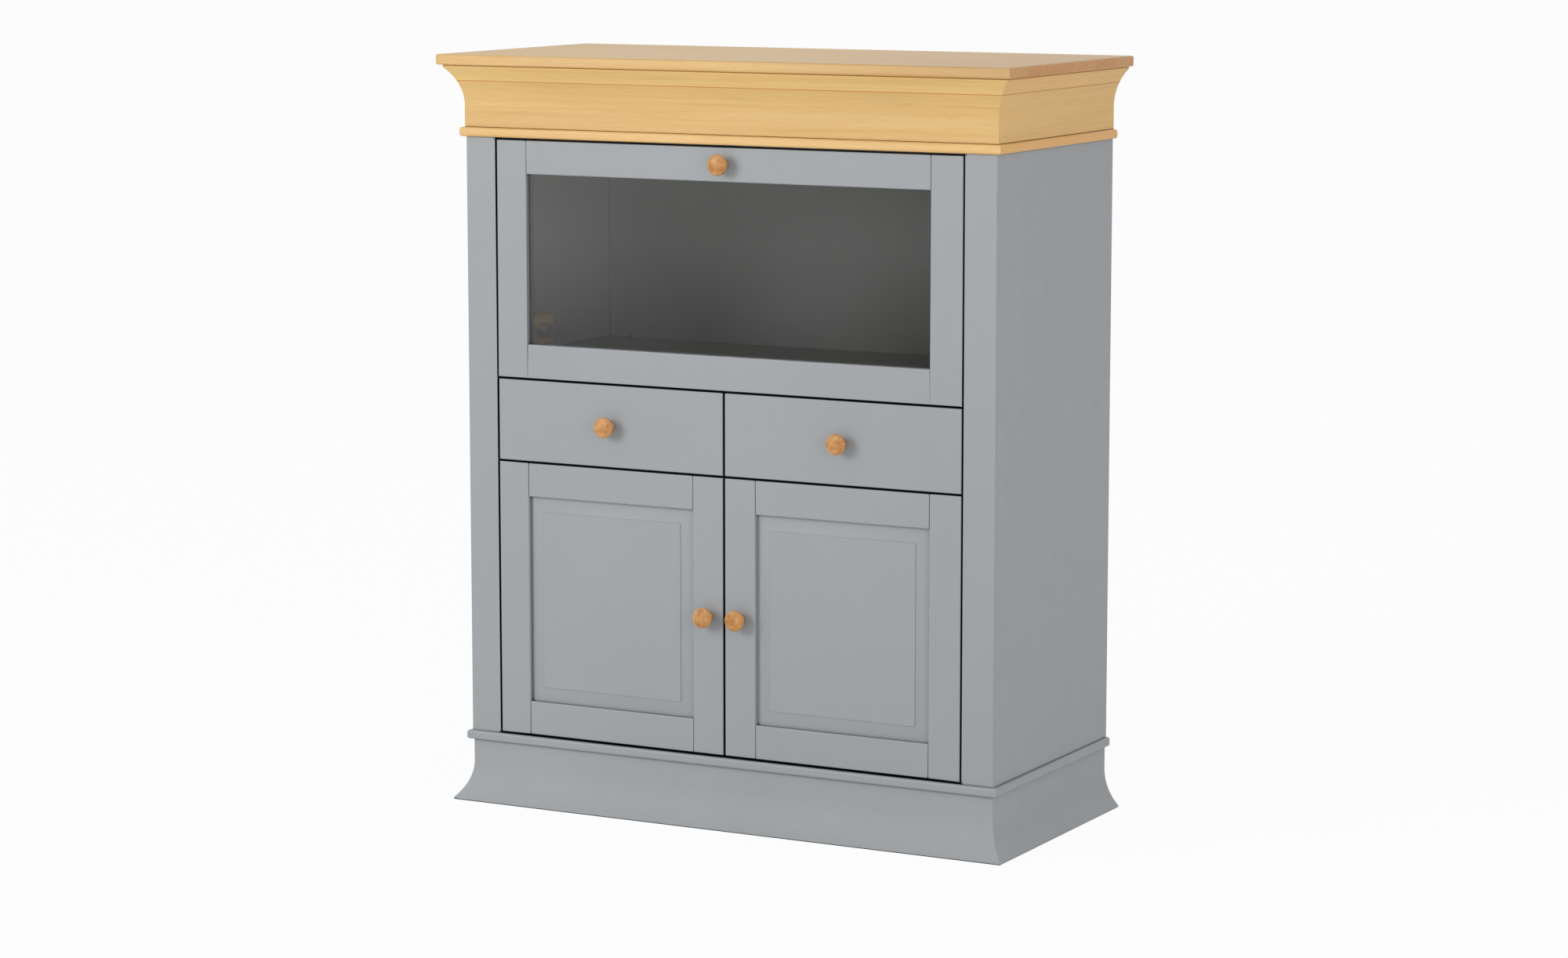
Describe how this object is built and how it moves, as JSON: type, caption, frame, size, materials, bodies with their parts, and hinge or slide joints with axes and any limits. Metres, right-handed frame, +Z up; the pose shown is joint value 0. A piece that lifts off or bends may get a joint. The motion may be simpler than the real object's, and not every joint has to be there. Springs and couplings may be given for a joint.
{
  "type": "bar cabinet",
  "caption": "Bar cabinet with a glazed drop flap over drawers and panelled doors, a moulded plinth and cornice, and a wide wooden top.",
  "frame": {"origin": "middle of the cabinet's footprint, on the floor it stands on", "axes": "+Z up; the fronts face -Y; +X is the right-hand side seen from the front"},
  "size_m": [1.072, 0.494, 1.293],
  "materials": {
    "grey_paint": "satin light grey paint on solid wood, arrises eased",
    "inner_paint": "matt grey paint on board",
    "light_wood": "clear satin lacquer on pale honey-coloured solid wood",
    "top_wood": "clear matt lacquer on edge-glued solid wood",
    "knob_wood": "turned and waxed wood, grain across the face",
    "runner_wood": "plain planed wood, unfinished",
    "steel": "zinc-plated steel",
    "glass": "clear float glass",
    "magnet_case": "ivory plastic housing"
  },
  "bodies": {
    "cabinet": {"top_slab": "top_wood", "cornice_front": "light_wood", "cornice_left": "light_wood", "cornice_right": "light_wood", "cornice_rails": "runner_wood", "upper_board": "light_wood", "left_side_panel": "grey_paint", "right_side_panel": "grey_paint", "left_post": "grey_paint", "right_post": "grey_paint", "lower_board": "grey_paint", "plinth_front": "grey_paint", "plinth_left": "grey_paint", "plinth_right": "grey_paint", "plinth_rails": "runner_wood", "bar_deck": "inner_paint", "drawer_deck": "inner_paint", "drawer_divider": "inner_paint", "back_panel": "inner_paint", "shelf": "inner_paint", "shelf_pins": "steel", "packing_blocks": "runner_wood", "drawer_runners": "runner_wood", "hinge_arms": "steel", "hinge_screws": "steel", "back_screws": "steel", "flap_pivot_pins": "steel", "magnet_catches": "magnet_case", "stay_plates": "steel"},
    "flap": {"flap_left_stile": "grey_paint", "flap_right_stile": "grey_paint", "flap_top_rail": "grey_paint", "flap_bottom_rail": "grey_paint", "flap_glass": "glass", "flap_glazing_beads": "grey_paint", "flap_knob": "knob_wood", "stay_brackets": "steel", "flap_strike": "steel"},
    "stay_swivel": {"stay_swivels": "steel"},
    "stay_rod": {"stay_rods": "steel"},
    "left_door": {"left_door_stiles": "grey_paint", "left_door_rails": "grey_paint", "left_door_panel": "grey_paint", "left_door_knob": "knob_wood", "left_hinge_cups": "steel", "left_door_strike": "steel"},
    "right_door": {"right_door_stiles": "grey_paint", "right_door_rails": "grey_paint", "right_door_panel": "grey_paint", "right_door_knob": "knob_wood", "right_hinge_cups": "steel", "right_door_strike": "steel"},
    "left_drawer": {"left_drawer_front": "grey_paint", "left_drawer_box": "runner_wood", "left_drawer_bottom": "runner_wood", "left_drawer_knob": "knob_wood"},
    "right_drawer": {"right_drawer_front": "grey_paint", "right_drawer_box": "runner_wood", "right_drawer_bottom": "runner_wood", "right_drawer_knob": "knob_wood"}
  },
  "joints": [
    {"name": "flap_hinge", "type": "hinge", "parent": "cabinet", "child": "flap", "pos_m": [0, -0.2035, 0.754], "axis": [1, 0, 0], "range_deg": [0, 90]},
    {"name": "stay_swivel_turn", "type": "hinge", "parent": "cabinet", "child": "stay_swivel", "pos_m": [0, -0.061, 0.809], "axis": [1, 0, 0], "range_deg": [0, 13.42]},
    {"name": "stay_rod_slide", "type": "slide", "parent": "stay_swivel", "child": "stay_rod", "axis": [0, -0.9956, 0.0936], "range_m": [0, 0.09306]},
    {"name": "left_door_hinge", "type": "hinge", "parent": "cabinet", "child": "left_door", "pos_m": [-0.425, -0.2015, 0.3615], "axis": [0, 0, -1], "range_deg": [0, 90]},
    {"name": "right_door_hinge", "type": "hinge", "parent": "cabinet", "child": "right_door", "pos_m": [0.425, -0.2015, 0.3615], "axis": [0, 0, 1], "range_deg": [0, 90]},
    {"name": "left_drawer_slide", "type": "slide", "parent": "cabinet", "child": "left_drawer", "axis": [0, -1, 0], "range_m": [0, 0.3]},
    {"name": "right_drawer_slide", "type": "slide", "parent": "cabinet", "child": "right_drawer", "axis": [0, -1, 0], "range_m": [0, 0.3]}
  ],
  "couplings": [
    {"joint": "stay_swivel_turn", "follows": "flap_hinge", "ratio": 0.14915},
    {"joint": "stay_rod_slide", "follows": "flap_hinge", "m_per_rad": 0.059244}
  ]
}
